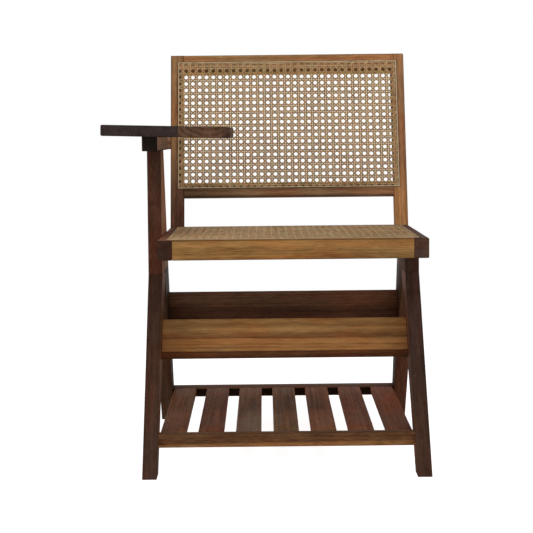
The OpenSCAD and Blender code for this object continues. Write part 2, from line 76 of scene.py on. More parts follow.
# Edges that turn this far are sanded. Shorter ones, such as those round the dowel holes, stay sharp
SANDED_ANGLE = radians(20)
SANDED_LENGTH = 0.0095
EDGE_SEGMENTS = 2
# The back's two top corners, and the segments of these and of a glued board's rim
CORNER_RADIUS = 0.0035
RIM_SEGMENTS = 4
# How far in from a board's sides its rounded outline reaches
OUTLINE_REACH = 0.009
# Faces of wood below this area are shaded smooth. Wood and cane stay sharp at edges that turn this far
SMOOTH_AREA = 0.0002
WOOD_SHARP_FROM = radians(38)
CANE_SHARP_FROM = radians(60)

# How square to the fibres a cut end is, how square to a side a flat face, how far out an outer edge looks
END_GRAIN_FROM = 0.8
FLAT_FACE_FROM = 0.97
OUTWARD_FROM = 0.1
# Tones of a piece's broad and narrow sides, its cut ends, its edges and the seams of its joints. The edges'
# darker tone is painted shade on their rounding
FACE_TONES = {"broad": 1.0, "narrow": 1.0, "ends": 0.62, "edges": 0.8, "seams": 1.0}
# A graded tone is a row of stops: a place along the grain from the piece's middle, and the tone there.
# The piece is cut across into this many steps between two stops
GRADE_STEPS = 8
# The least that a heart line lies across and through from the piece's middle, how much that varies, and the
# length that the grain may start in
HEART_NEAR = (0.02, 0.03)
HEART_SPREAD = 0.04
START_SPREAD = 9
# The front legs' inner faces are painted light from the side, which fades lower down.
# Place along the leg, share of the tone at its top
INNER_LEG_SHARES = ((-0.21, 0.22), (-0.15, 0.48), (0.15, 0.52), (0.22, 1.0))
# The slats came from different boards: some reddish, the third and fourth greyer
SLAT_TONES = (
    (1.40, 1.30, 1.14),
    (1.42, 1.22, 1.12),
    (1.52, 1.74, 1.90),
    (1.46, 1.50, 1.20),
    (1.60, 1.50, 1.30),
    (1.60, 1.26, 1.10),
    (1.39, 1.11, 1.01),
)
# The slats are lighter towards the rear: a painted reflection of the bright room behind them
SLAT_REAR_REFLECTION = (1.95, 1.55, 1.10)
# Wood in a groove or under the cane is darkened as painted shade, where little light comes in
UNDER_CANE_SHADE = 0.30

# The groove that holds cane and spline, and how far off a surface still counts as on it
GROOVE_WIDTH = 0.005
GROOVE_DEPTH = 0.006
TOUCH = 0.0001
# The spline's rounding, its share of the groove's width, and how far it is pushed to the panel's side
REED_RADIUS = 0.0011
SPLINE_SHARE = 0.64
SPLINE_SHIFT = 0.0003
# One eye of each panel, and the back's topmost pair, which lies off the pitch, in the panel's frame
BACK_EYE = (-0.2297, 0.3622)
SEAT_EYE = (0.0, 0.197)
BACK_EXTRA_PAIR = 0.3763
# The opening inside the back's posts and rails: its lower left and upper right corner
BACK_OPENING = ((-0.235, 0.099), (0.235, 0.358))
# What is left of a strand's rise where it goes down into the groove
EDGE_RISE = 0.3
# How far beside a pair a diagonal starts to turn, in pair spacings, and the shortest one, in pitches
DIAGONAL_REACH = 0.62
SHORTEST_DIAGONAL = 0.4
# Rows of diagonals to spare
SPARE_ROWS = 4
# Cane of the back over wood and where light shines through, and of the seat from left to right.
# The seat's cane is lighter on the left: painted light where the tablet shades it
BACK_CANE_TONE = (1.07, 1.0, 1.03)
OPEN_CANE_TONE = (0.96, 0.88, 0.72)
SEAT_CANE_TONE = ((-0.20, (1.70, 1.70, 1.92)), (0.0, (1.34, 1.35, 1.48)), (0.20, (1.13, 1.08, 1.12)))
# Reed, and the seat's rear run, which is coloured much darker
REED_TONE = (0.90, 0.85, 0.77)
DARK_REED_TONE = (0.20, 0.15, 0.13)

# How bright the floor's own light is to the camera, and to the chair near it and far from it
FLOOR_SEEN = 0.88
FLOOR_BOUNCE = 0.30
FLOOR_FAR = 0.60
# The floor's size, and how far from the chair it fades to the white backdrop
FLOOR_RADIUS = 40
FLOOR_SEGMENTS = 64
FLOOR_FADE = (0.9, 2.2)
# Each softbox's place, what it looks at, its width and height, and the setting that holds its power
SOFTBOXES = {
    "overhead_softbox": ((0.4, -1.1, 2.5), (0, 0, 0.4), (2.2, 1.6), "overhead"),
    "front_softbox": ((0.0, -2.6, 1.5), (0, 0, 0.5), (0.9, 1.8), "front"),
    "left_softbox": ((-2.3, -1.3, 0.75), (0, 0, 0.4), (1.2, 1.5), "sides"),
    "right_softbox": ((2.3, -1.3, 0.75), (0, 0, 0.4), (1.2, 1.5), "sides"),
}
# The camera's sensor, in millimetres
SENSOR_WIDTH = 36


# Sizes, colours and light that a user would change


def metres(name, description, default):
    return FloatProperty(name=name, description=description, default=default, unit="LENGTH")


def angle(name, description, default):
    return FloatProperty(name=name, description=description, default=default, subtype="ANGLE")


def watts(name, description, default):
    return FloatProperty(name=name, description=description, default=default, unit="POWER")


def colour_property(name, description, default):
    return FloatVectorProperty(
        name=name, description=description, default=default, subtype="COLOR", min=0, max=1, size=3
    )


class ChairSizes(bpy.types.PropertyGroup):
    """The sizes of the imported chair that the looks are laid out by."""

    middle_across: metres("Middle across", "Middle of the seat from the chair's middle", 0.05398)
    front_toes: metres("Front toes", "Front toes from the middle of the chair", -0.32544)
    seat_front: metres("Seat front", "Front of the seat behind the toes", 0.114)
    seat_width: metres("Seat width", "Over the side rails", 0.530)
    seat_depth: metres("Seat depth", "Up to the back posts", 0.394)
    seat_height: metres("Seat height", "Front top edge", 0.4455)
    seat_slope: angle("Seat slope", "Fall of the seat to the rear", radians(0.95))
    back_width: metres("Back width", "Over the posts", 0.529)
    back_height: metres("Back height", "Along the posts", 0.400)
    back_rake: angle("Back rake", "Lean of the back from a square to the seat", radians(16))
    seat_groove: metres("Seat groove", "Middle of the groove in from the seat's edge", 0.019)
    seat_groove_rear: metres("Rear groove", "Middle of it from the seat's front", 0.3795)
    back_groove: metres("Back groove", "Middle of the groove in from the back's edges", 0.018)
    back_groove_low: metres("Low groove", "Middle of the back's lower one above the seat", 0.0898)
    edge_radius: metres("Edge radius", "Sanded edge of the wood", 0.0007)


class CaneSizes(bpy.types.PropertyGroup):
    """The six-way weave of the two panels."""

    pitch_across: metres("Pitch across", "Spacing of the eyes", 0.0154)
    pitch_up: metres("Pitch up", "Spacing of the eyes", 0.01515)
    strand_width: metres("Strand width", "Width of one strand", 0.0027)
    strand_thickness: metres("Strand thickness", "Thickness of one strand", 0.0007)
    pair_spacing: metres("Pair spacing", "Middle to middle of the strands of a pair", 0.0043)
    pair_wave: metres("Pair wave", "Rise of a paired strand over another", 0.0003)
    diagonal_wave: metres("Diagonal wave", "Rise of a diagonal over a pair", 0.0006)
    lift: metres("Lift", "Middle of the weave above the wood", 0.00096)


class ChairFinishes(bpy.types.PropertyGroup):
    """Colours of the finishes, linear."""

    golden: colour_property("Golden wood", "Front rails and back frame", (0.262, 0.128, 0.046))
    brown: colour_property("Brown wood", "Slats and the tablet's inner board", (0.094, 0.045, 0.026))
    dark: colour_property("Dark wood", "Legs, arm and the tablet's outer board", (0.050, 0.023, 0.014))
    cane: colour_property("Cane", "Woven strands", (0.322, 0.217, 0.107))
    reed: colour_property("Reed", "Spline round the cane", (0.50, 0.40, 0.28))
    dowel: colour_property("Dowel wood", "Loose dowels inside the joints", (0.55, 0.38, 0.20))
    steel: colour_property("Screw steel", "Tablet screws", (0.56, 0.55, 0.53))


class StageSettings(bpy.types.PropertyGroup):
    """Camera and light."""

    camera_place: FloatVectorProperty(
        name="Camera place",
        description="Where the camera stands",
        default=(-0.00046, -2.92215, 0.69325),
        subtype="TRANSLATION",
    )
    camera_pitch: angle("Pitch", "Camera tilt down", 0.11038)
    camera_yaw: angle("Yaw", "Camera turn to the right", 0.0008)
    camera_roll: angle("Roll", "Camera roll", 0.01046)
    lens: FloatProperty(name="Lens", description="Focal length in millimetres", default=94.55)
    ambient: FloatProperty(name="Ambient", description="Light from all round", default=0.25)
    reflected: FloatProperty(name="Reflected", description="Brightness of the room in gloss", default=0.9)
    overhead: watts("Overhead", "Power of the overhead softbox", 24)
    front: watts("Front", "Power of the tall front softbox", 10)
    sides: watts("Sides", "Power of each of the two side softboxes", 22)
    floor_colour: colour_property("Floor", "Pale floor", (0.80, 0.80, 0.80))


# Small helpers for meshes


def settings(name):
    return getattr(bpy.context.scene, name)


def new_mesh(name, bm):
    mesh = bpy.data.meshes.new(name)
    bm.to_mesh(mesh)
    bm.free()
    return mesh


def new_object(name, data):
    made = bpy.data.objects.new(name, data)
    bpy.context.scene.collection.objects.link(made)
    return made


def finish_piece(name, mesh, material, replaced):
    """Makes an object of a mesh, rides it on the chair's one body and hides the node it stands for."""
    piece = new_object(name, mesh)
    mesh.materials.clear()
    mesh.materials.append(material)
    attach(piece, "root")
    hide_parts(replaced)
    return piece


def write_attribute(mesh, name, domain, values):
    mesh.attributes.new(name, "FLOAT_VECTOR", domain).data.foreach_set("vector", values)


def write_grain(mesh, along, face, centre, shift):
    """Stores each point's place along, across and through the wood, from a heart line beside the piece."""
    across = face.cross(along).normalized()
    through = along.cross(across).normalized()
    values = []
    for vertex in mesh.vertices:
        place = vertex.co - centre
        values += [place.dot(along) + shift[0], place.dot(across) + shift[1], place.dot(through) + shift[2]]
    write_attribute(mesh, "grain", "POINT", values)


def write_tone(mesh, along, centre, tone):
    """Stores the tone that each point's colour is multiplied by."""
    values = []
    for vertex in mesh.vertices:
        values += tone_at(tone, (vertex.co - centre).dot(along))
    write_attribute(mesh, "tone", "POINT", values)


def is_graded(tone):
    return isinstance(tone, tuple) and isinstance(tone[0], tuple)


def as_colour(tone):
    return tone if isinstance(tone, tuple) else (tone, tone, tone)


def tone_at(tone, place):
    """The tone at a place along the grain, easing from each stop to the next."""
    stops = tone if is_graded(tone) else ((0.0, tone),)
    if place <= stops[0][0]:
        return as_colour(stops[0][1])
    for (start, first), (stop, second) in zip(stops, stops[1:]):
        if place < stop:
            share = (place - start) / (stop - start)
            share = share * share * (3 - 2 * share)
            return tuple(a + (b - a) * share for a, b in zip(as_colour(first), as_colour(second)))
    return as_colour(stops[-1][1])


def times(tone, factor):
    """A tone multiplied by another."""
    return tuple(t * f for t, f in zip(tone, as_colour(factor)))


def write_face_tone(mesh, along, face, centre, tones, inwards, outwards):
    """Stores each face's tone: sides, cut ends, eased edges, and wood in a groove or under the cane.

    The inner side has a tone of its own where the way inwards is given; a lighter one is painted light.
    Where the ways outwards are given, edges that look none of these ways are seams. The eased edges' darker
    tone and the darker wood under the cane are painted shade.
    """
    across = face.cross(along).normalized()
    panels = cane_panels()
    values = []
    for polygon in mesh.polygons:
        normal = polygon.normal
        if inwards is not None and normal.dot(inwards) > FLAT_FACE_FROM:
            tone = tone_at(tones["inner"], (polygon.center - centre).dot(along))
        elif abs(normal.dot(along)) > END_GRAIN_FROM:
            tone = tones["ends"]
        elif abs(normal.dot(face)) > FLAT_FACE_FROM:
            tone = tones["broad"]
        elif abs(normal.dot(across)) > FLAT_FACE_FROM:
            tone = tones["narrow"]
        elif outwards and not any(normal.dot(way) > OUTWARD_FROM for way in outwards):
            tone = tones["seams"]
        else:
            tone = tones["edges"]
        if any(panel.covers(polygon.center) for panel in panels):
            tone = UNDER_CANE_SHADE
        values += as_colour(tone)
    write_attribute(mesh, "face_tone", "FACE", values)


def is_near_outline(place, low, high):
    return min(place.x - low.x, high.x - place.x, place.y - low.y, high.y - place.y) < OUTLINE_REACH


def is_corner(edge, one_way, other_way):
    """Tells whether an edge lies between a face that looks one way and a face that looks the other."""
    if not edge.is_manifold or not edge.is_convex:
        return False
    first, second = (face.normal for face in edge.link_faces)
    return any(
        a.dot(one_way) > FLAT_FACE_FROM and b.dot(other_way) > FLAT_FACE_FROM
        for a, b in ((first, second), (second, first))
    )


def sanded_edges(bm, node, glued):
    """The long outer edges of a piece, or all edges round a glued board but those of its glued face."""
    shortest = SANDED_LENGTH if glued is None else 0.0
    outer = [e for e in bm.edges if e.is_manifold and e.is_convex]
    sanded = [e for e in outer if e.calc_length() > shortest and e.calc_face_angle(0) > SANDED_ANGLE]
    if glued is None:
        return sanded
    low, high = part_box(node)
    sanded = [e for e in sanded if all(face.normal.dot(glued) < FLAT_FACE_FROM for face in e.link_faces)]
    return [e for e in sanded if is_near_outline(e.verts[0].co, low, high)]


def ease(bm, edges, radius, segments):
    bmesh.ops.bevel(
        bm,
        geom=edges,
        offset=radius,
        offset_type="OFFSET",
        segments=segments,
        profile=0.5,
        affect="EDGES",
        clamp_overlap=True,
        material=-1,
    )


def eased_copy(node, radius, cuts=(), corner=None, glued=None):
    """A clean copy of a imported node, with its edges sanded round, and cut across where its tone changes.

    A corner is the two ways that the faces beside it look. It is rounded further than the edges.
    """
    bm = bmesh.new()
    bm.from_mesh(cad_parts[node].data)
    bmesh.ops.remove_doubles(bm, verts=bm.verts, dist=MERGE_DISTANCE)
    bmesh.ops.dissolve_limit(bm, angle_limit=FLAT_ANGLE, verts=bm.verts, edges=bm.edges)
    if corner is not None:
        ease(bm, [e for e in bm.edges if is_corner(e, *corner)], CORNER_RADIUS, RIM_SEGMENTS)
    ease(bm, sanded_edges(bm, node, glued), radius, EDGE_SEGMENTS if glued is None else RIM_SEGMENTS)
    for place, along in cuts:
        everything = bm.verts[:] + bm.edges[:] + bm.faces[:]
        bmesh.ops.bisect_plane(bm, geom=everything, plane_co=place, plane_no=along)
    for face in bm.faces:
        face.smooth = face.calc_area() < SMOOTH_AREA
    return bm


def wood_piece(
    node,
    wood,
    along,
    face,
    tone=1.0,
    radius=None,
    heart=None,
    start=None,
    inwards=None,
    outwards=(),
    corner=None,
    glued=None,
    **faces,
):
    """Stands a sanded piece with its own grain in the place of a packed wooden node.

    The wood is a material and a slot, which is not used. The grain runs along, and the broad sides look to
    face.
    The heart line and the start of the grain are drawn where they aren't given. Faces holds tones by side.
    """
    material, slot = wood
    radius = settings("chair_sizes").edge_radius if radius is None else radius
    chance = random.Random(node)
    low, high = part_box(node)
    middle = (low + high) / 2
    along, face = along.normalized(), face.normalized()
    shift = heart or tuple(near + HEART_SPREAD * chance.random() for near in HEART_NEAR)
    start = chance.random() * START_SPREAD if start is None else start
    cuts = []
    for graded in filter(is_graded, (tone, faces.get("inner"))):
        for (first, _), (last, _) in zip(graded, graded[1:]):
            for step in range(GRADE_STEPS + 1):
                cuts.append((middle + along * (first + (last - first) * step / GRADE_STEPS), along))
    for panel in cane_panels():
        if node.startswith(panel.node.removesuffix("cane")):
            cuts += panel.border_planes()
    bm = eased_copy(node, radius, cuts, corner, glued)
    piece = finish_piece(node + "_wood", new_mesh(node + "_wood", bm), material, node)
    piece.data.set_sharp_from_angle(angle=WOOD_SHARP_FROM)
    write_grain(piece.data, along, face, middle, (start, *shift))
    write_tone(piece.data, along, middle, tone)
    write_face_tone(piece.data, along, face, middle, FACE_TONES | faces, inwards, outwards)
    return piece


def turned_x(angle):
    return Matrix.Rotation(angle, 4, "X")


def seat_frame():
    """The seat's own frame: X across, Y to the rear along the top, Z out of it."""
    s = settings("chair_sizes")
    place = Matrix.Translation((s.middle_across, s.front_toes + s.seat_front, s.seat_height))
    return place @ turned_x(-s.seat_slope)


def back_frame():
    """The back's own frame: X across, Y to the rear, Z up the posts."""
    s = settings("chair_sizes")
    return seat_frame() @ Matrix.Translation((0, s.seat_depth, 0)) @ turned_x(-s.back_rake)


def direction(matrix, axis):
    return (matrix.to_3x3() @ Vector(axis)).normalized()


class Panel:
    """One cane panel: the area inside its groove, and where the eyes of the weave fall."""

    def __init__(self, name, matrix, low, high, eye, tone, extra_pair=None, open_area=None):
        weave = settings("cane_sizes")
        self.name, self.node, self.matrix = name + "_weave", name + "_cane", matrix
        self.low, self.high, self.eye = low, high, eye
        self.tone, self.extra_pair, self.open_area = tone, extra_pair, open_area
        self.spacing = (weave.pitch_across, weave.pitch_up)

    def tone_of(self, x, y):
        """The cane's tone at a place on the panel, which is its own where there is no wood behind."""
        if self.open_area is not None:
            (left, bottom), (right, top) = self.open_area
            if left < x < right and bottom < y < top:
                return OPEN_CANE_TONE
        return tone_at(self.tone, x)

    def covers(self, place):
        """Tells whether a place on the wood lies under the panel or in its groove."""
        half = GROOVE_WIDTH / 2
        x, y, z = self.matrix.inverted() @ place
        inside = self.low[0] - half < x < self.high[0] + half and self.low[1] - half < y < self.high[1] + half
        return inside and -GROOVE_DEPTH - TOUCH < z < TOUCH

    def border_planes(self):
        """The planes of the groove's outer walls, where open wood and wood under the cane meet."""
        planes = []
        for axis in (0, 1):
            across = direction(self.matrix, (1 - axis, axis, 0))
            for border in (self.low[axis] - GROOVE_WIDTH / 2, self.high[axis] + GROOVE_WIDTH / 2):
                place = Vector((0, 0, 0))
                place[axis] = border
                planes.append((self.matrix @ place, across))
        return planes

    def pair_lines(self, axis):
        """Middles of the pairs that cross this axis: halfway between the eyes."""
        step, low, high = self.spacing[axis], self.low[axis], self.high[axis]
        first = self.eye[axis] + step / 2
        start = ceil((low - first) / step)
        stop = floor((high - first) / step)
        return [first + i * step for i in range(start, stop + 1)]


def cane_panels():
    """The back's panel and the seat's, laid out from the chair's sizes."""
    s = settings("chair_sizes")
    back_side, seat_side = s.back_width / 2 - s.back_groove, s.seat_width / 2 - s.seat_groove
    back_low, back_high = (-back_side, s.back_groove_low), (back_side, s.back_height - s.back_groove)
    seat_low, seat_high = (-seat_side, s.seat_groove), (seat_side, s.seat_groove_rear)
    back = Panel(
        "back",
        back_frame() @ turned_x(pi / 2),
        back_low,
        back_high,
        BACK_EYE,
        BACK_CANE_TONE,
        extra_pair=BACK_EXTRA_PAIR,
        open_area=BACK_OPENING,
    )
    seat = Panel("seat", seat_frame(), seat_low, seat_high, SEAT_EYE, SEAT_CANE_TONE)
    return back, seat


# Materials


def shade(colour, factor):
    return tuple(min(1.0, part) for part in times(colour, factor))


class Nodes:
    """Builds the node tree of one material, or of the world, a line for each node."""

    def __init__(self, owner, output="OutputMaterial"):
        owner.use_nodes = True
        self.owner, self.tree = owner, owner.node_tree
        self.tree.nodes.clear()
        self.output = self.add(output)

    @classmethod
    def of_material(cls, name):
        return cls(bpy.data.materials.new(name))

    def add(self, kind, inputs=None, **values):
        """A node with its own values set, and its inputs linked or set."""
        node = self.tree.nodes.new("ShaderNode" + kind)
        for key, value in values.items():
            setattr(node, key, value)
        for socket, value in (inputs or {}).items():
            if isinstance(value, bpy.types.NodeSocket):
                self.tree.links.new(value, node.inputs[socket])
            else:
                node.inputs[socket].default_value = value
        return node

    def attribute(self, name):
        return self.add("Attribute", attribute_name=name).outputs["Vector"]

    def object_place(self):
        return self.add("TexCoord").outputs["Object"]

    def parts(self, vector):
        return self.add("SeparateXYZ", {"Vector": vector}).outputs

    def noise(self, vector, scale, shift=(0, 0, 0), detail=3, roughness=0.55, distortion=0, output="Fac"):
        """Noise with so many waves to the metre each way, moved by the shift."""
        stretched = self.add("Mapping", {"Vector": vector, "Scale": scale, "Location": shift})
        inputs = {"Vector": stretched.outputs["Vector"], "Scale": 1, "Detail": detail}
        inputs |= {"Roughness": roughness, "Distortion": distortion}
        return self.add("TexNoise", inputs).outputs[output]

    def vector_math(self, operation, a, b):
        return self.add("VectorMath", {0: a, 1: b}, operation=operation).outputs[0]

    def math(self, operation, a, b):
        return self.add("Math", {0: a, 1: b}, operation=operation).outputs[0]

    def swing(self, value, share):
        """A value from 0 to 1, moved to swing round 0 and made smaller."""
        return self.math("MULTIPLY", self.math("SUBTRACT", value, 0.5), share)

    def spread(self, value, low, high, to_low=0.0, to_high=1.0):
        """Eases from one number to another while the value goes from low to high."""
        inputs = {"Value": value, "From Min": low, "From Max": high, "To Min": to_low, "To Max": to_high}
        return self.add("MapRange", inputs, interpolation_type="SMOOTHSTEP").outputs["Result"]

    def ramp(self, value, colour, stops):
        """Shades of one colour at stops along the value."""
        node = self.add("ValToRGB", {"Fac": value})
        shades = [(place, (*shade(colour, factor), 1)) for place, factor in stops]
        elements = node.color_ramp.elements
        elements[0].position, elements[0].color = shades[0]
        elements[1].position, elements[1].color = shades[-1]
        for place, between in shades[1:-1]:
            elements.new(place).color = between
        return node.outputs["Color"]

    def mix(self, factor, a, b, blend="MIX"):
        a, b = (part if isinstance(part, bpy.types.NodeSocket) else (*part, 1) for part in (a, b))
        inputs = {"Factor": factor, "A": a, "B": b}
        return self.add("Mix", inputs, data_type="RGBA", blend_type=blend).outputs["Result"]

    def multiplied(self, colour, *factors):
        for factor in factors:
            colour = self.mix(1.0, colour, factor, "MULTIPLY")
        return colour

    def bump(self, height, strength, distance):
        inputs = {"Height": height, "Strength": strength, "Distance": distance}
        return self.add("Bump", inputs).outputs["Normal"]

    def surface(self, colour, roughness, normal, metallic=0.0, reflection=0.5):
        inputs = {"Base Color": colour, "Roughness": roughness, "Normal": normal}
        inputs |= {"Metallic": metallic, "Specular IOR Level": reflection}
        return self.show(self.add("BsdfPrincipled", inputs).outputs["BSDF"])

    def show(self, shader):
        self.tree.links.new(shader, self.output.inputs["Surface"])
        return self.owner


def oiled_wood(
    name,
    colour,
    contrast=1.0,
    ring_gap=0.0055,
    ring_share=0.06,
    sway=0.004,
    hue=0.6,
    sheen=0.62,
    band=None,
    length=1.0,
    fine=1.0,
):
    """Oiled hardwood: growth rings round a heart line, bands, streaks, short pores and slow changes of hue.

    Length stretches the figure along the board, and fine is how much of it is streaks and fibres.
    """
    n = Nodes.of_material(name)
    grain = n.attribute("grain")
    wander = n.noise(grain, (2.6, 16, 16), detail=2, output="Color")
    swayed = n.vector_math("MULTIPLY", n.vector_math("SUBTRACT", wander, (0.5, 0.5, 0.5)), (0, sway, sway))
    bent = n.vector_math("ADD", grain, swayed)
    # A wave of scale 1 comes back after tau / 20
    rings = n.add(
        "TexWave",
        {"Vector": bent, "Scale": tau / 20 / ring_gap, "Distortion": 1.6, "Detail": 2, "Detail Scale": 0.5},
        wave_type="RINGS",
        rings_direction="X",
        wave_profile="SIN",
    )
    bands = n.noise(bent, (0.9 / length, 62, 62), (5, 2, 7), detail=2)
    streaks = n.noise(bent, (4 / length, 260, 260), roughness=0.6)
    dashes = n.noise(bent, (60 / length, 620, 620), (2, 9, 4), detail=2, roughness=0.6)
    fibres = n.noise(bent, (22, 1150, 1150), detail=2)
    pores = n.noise(bent, (75, 1900, 1900), (3, 1, 2), detail=1)
    mottle = n.noise(grain, (22 / length, 60, 60), (4, 4, 1))
    patches = n.noise(grain, (6, 22, 22), (1, 4, 2), detail=2, distortion=0.6)
    figure = n.swing(rings.outputs["Fac"], ring_share)
    layers = (
        (bands, 0.75 - 0.30 * fine),
        (streaks, 0.30 * fine),
        (dashes, 0.50 * fine),
        (fibres, 0.20 * fine),
        (mottle, 0.30),
    )
    for layer, share in layers:
        figure = n.math("ADD", figure, n.swing(layer, share))
    reach = 0.21 / contrast
    shades = ((0.0, (0.50, 0.42, 0.38)), (0.5, (0.95, 0.94, 0.93)), (1.0, (1.42, 1.46, 1.46)))
    body = n.ramp(n.spread(figure, -reach, reach), colour, shades)
    reddened = n.multiplied(body, (1 + 0.14 * hue, 1 - 0.08 * hue, 1 - 0.16 * hue))
    greyed = n.multiplied(body, (1 - 0.13 * hue, 1 + 0.02 * hue, 1 + 0.14 * hue))
    body = n.mix(n.spread(patches, 0.38, 0.62), reddened, greyed)
    if band is not None:
        body = n.mix(band_share(n, grain, band), body, n.multiplied(body, band["tone"]))
    dark_pores = n.spread(pores, 0.60, 0.70, 1.0, 0.62)
    grey_pores = n.ramp(dark_pores, (1, 1, 1), ((0, 0), (1, 1)))
    body = n.multiplied(body, grey_pores, n.attribute("tone"), n.attribute("face_tone"))
    rough = n.spread(streaks, 0.3, 0.7, sheen + 0.07, sheen - 0.05)
    relief = n.math("ADD", n.math("MULTIPLY", fibres, 0.5), n.math("MULTIPLY", dark_pores, 0.5))
    return n.surface(body, rough, n.bump(relief, 0.35, 0.0004), reflection=0.04)


def band_share(n, grain, band):
    """How much of a point lies in the band that runs along the board above a bowed, sloping edge."""
    parts = n.parts(grain)
    along = parts["X"]
    bow = n.math("MULTIPLY", n.math("MULTIPLY", along, along), band["bow"])
    edge = n.math("ADD", n.math("MULTIPLY", along, band["rise"]), n.math("ADD", bow, band["edge"]))
    ripple = n.noise(grain, (14, 3, 3), detail=2)
    edge = n.math("ADD", edge, n.swing(ripple, band["ripple"]))
    height = n.math("SUBTRACT", parts["Y"], edge)
    below = n.spread(height, -band["soft"], band["soft"])
    above = n.spread(height, band["width"] - band["soft"], band["width"] + band["soft"], 1.0, 0.0)
    return n.math("MULTIPLY", below, above)


def peeled_cane(name, colour):
    """Cane strands: each strand its own straw tone, a satin skin, nodes along it, and painted shade on its
    lower parts where the strands cross.
    """
    n = Nodes.of_material(name)
    grain = n.attribute("grain")
    strand = n.noise(grain, (9, 330, 3), detail=1)
    hue = n.noise(grain, (26, 190, 5), (2, 7, 1), detail=2)
    fibre = n.noise(grain, (160, 2600, 90), detail=2)
    body = n.ramp(strand, colour, ((0.34, (0.60, 0.52, 0.44)), (0.5, 1.0), (0.66, (1.42, 1.45, 1.46))))
    warm = n.multiplied(body, (1.10, 0.94, 0.88))
    cool = n.multiplied(body, (0.92, 1.03, 0.94))
    body = n.mix(n.spread(hue, 0.4, 0.6), warm, cool)
    body = n.mix(n.spread(fibre, 0.45, 0.75, 0.0, 0.4), body, shade(colour, (0.45, 0.36, 0.27)))
    # Painted shade on the strands' lower parts, where they cross
    painted_crossing_shade = n.spread(n.parts(grain)["Z"], -0.0007, 0.0006, 0.55, 0.0)
    body = n.mix(painted_crossing_shade, body, shade(colour, (0.30, 0.22, 0.15)))
    body = n.multiplied(body, n.attribute("tone"))
    return n.surface(body, n.spread(fibre, 0.3, 0.7, 0.42, 0.58), n.bump(fibre, 0.3, 0.0003), reflection=0.15)


def split_reed(name, colour):
    """The spline: matt reed with fibres along it."""
    n = Nodes.of_material(name)
    place = n.object_place()
    coarse = n.noise(place, (60, 60, 60))
    fine = n.noise(place, (900, 900, 900), detail=2)
    blend = n.math("ADD", n.math("MULTIPLY", coarse, 0.6), n.math("MULTIPLY", fine, 0.4))
    body = n.ramp(blend, colour, ((0.34, (0.66, 0.60, 0.54)), (0.66, (1.2, 1.2, 1.18))))
    body = n.multiplied(body, n.attribute("face_tone"))
    return n.surface(body, n.spread(fine, 0.3, 0.7, 0.6, 0.75), n.bump(fine, 0.3, 0.0002))


def turned_dowel(name, colour):
    """Bare hardwood with short fibres."""
    n = Nodes.of_material(name)
    fibre = n.noise(n.object_place(), (300, 300, 300))
    body = n.ramp(fibre, colour, ((0.3, (0.7, 0.66, 0.6)), (0.7, (1.15, 1.15, 1.1))))
    return n.surface(body, 0.62, n.bump(fibre, 0.2, 0.0002))


def zinc_steel(name, colour):
    """Plated steel, cloudy where its plating wears."""
    n = Nodes.of_material(name)
    wear = n.noise(n.object_place(), (500, 500, 500))
    body = n.ramp(wear, colour, ((0.3, (0.7, 0.7, 0.72)), (0.7, (1.1, 1.1, 1.1))))
    return n.surface(body, n.spread(wear, 0.3, 0.7, 0.24, 0.42), n.bump(wear, 0.1, 0.0001), metallic=1.0)


def wood_band(tone, edge, width, ripple, soft, rise=0.0, bow=0.0):
    """Wood of another tone along a board.

    It starts at an edge, which rises and bows along the board. Its edges are wavy and soft.
    """
    return dict(tone=tone, edge=edge, width=width, ripple=ripple, soft=soft, rise=rise, bow=bow)


DARK_END = wood_band((0.62, 0.60, 0.66), -0.06, 0.036, 0.004, 0.004)
RED_BAND = wood_band((0.57, 0.52, 0.54), -0.006, 0.009, 0.006, 0.003, rise=0.002)
PALE_TOP = wood_band((1.57, 1.60, 1.49), 0.0122, 1.0, 0.002, 0.0008, bow=0.055)
HEARTWOOD = wood_band((0.55, 0.52, 0.62), -0.0055, 1.0, 0.002, 0.002, rise=0.009)

# The oiled finishes: the colour each starts from, its shade of it, and how it differs from plain oiled wood
OILED_FINISHES = {
    "golden_oiled_wood": ("golden", 1.0, {"hue": 0.45, "sway": 0.002, "length": 1.8, "fine": 0.75}),
    "brown_oiled_wood": ("brown", 1.0, {"contrast": 0.75}),
    "dark_oiled_wood": ("dark", 1.0, {"contrast": 0.65}),
    "figured_brown_wood": (
        "brown",
        1.0,
        {"contrast": 0.9, "ring_gap": 0.011, "ring_share": 0.13, "hue": 0.5, "band": DARK_END},
    ),
    "banded_golden_wood": (
        "golden",
        1.0,
        {"contrast": 0.9, "hue": 0.55, "sway": 0.0015, "length": 2.0, "fine": 0.6, "band": RED_BAND},
    ),
    "two_tone_board": ("brown", (0.70, 0.77, 0.88), {"contrast": 0.8, "hue": 0.5, "band": PALE_TOP}),
    "sap_edged_wood": ("golden", 0.62, {"contrast": 0.95, "hue": 0.4, "band": HEARTWOOD}),
}
# The other finishes: what makes them, and the colour each starts from
OTHER_FINISHES = {
    "peeled_cane": (peeled_cane, "cane"),
    "split_reed": (split_reed, "reed"),
    "turned_dowel": (turned_dowel, "dowel"),
    "zinc_steel": (zinc_steel, "steel"),
}


def finish(name):
    """The material of a finish, made once from the finishes' colours."""
    known = bpy.data.materials.get(name)
    if known:
        return known
    colours = settings("chair_finishes")
    if name in OILED_FINISHES:
        colour, shaded, look = OILED_FINISHES[name]
        return oiled_wood(name, shade(getattr(colours, colour), shaded), **look)
    make, colour = OTHER_FINISHES[name]
    return make(name, getattr(colours, colour))


# The wooden pieces


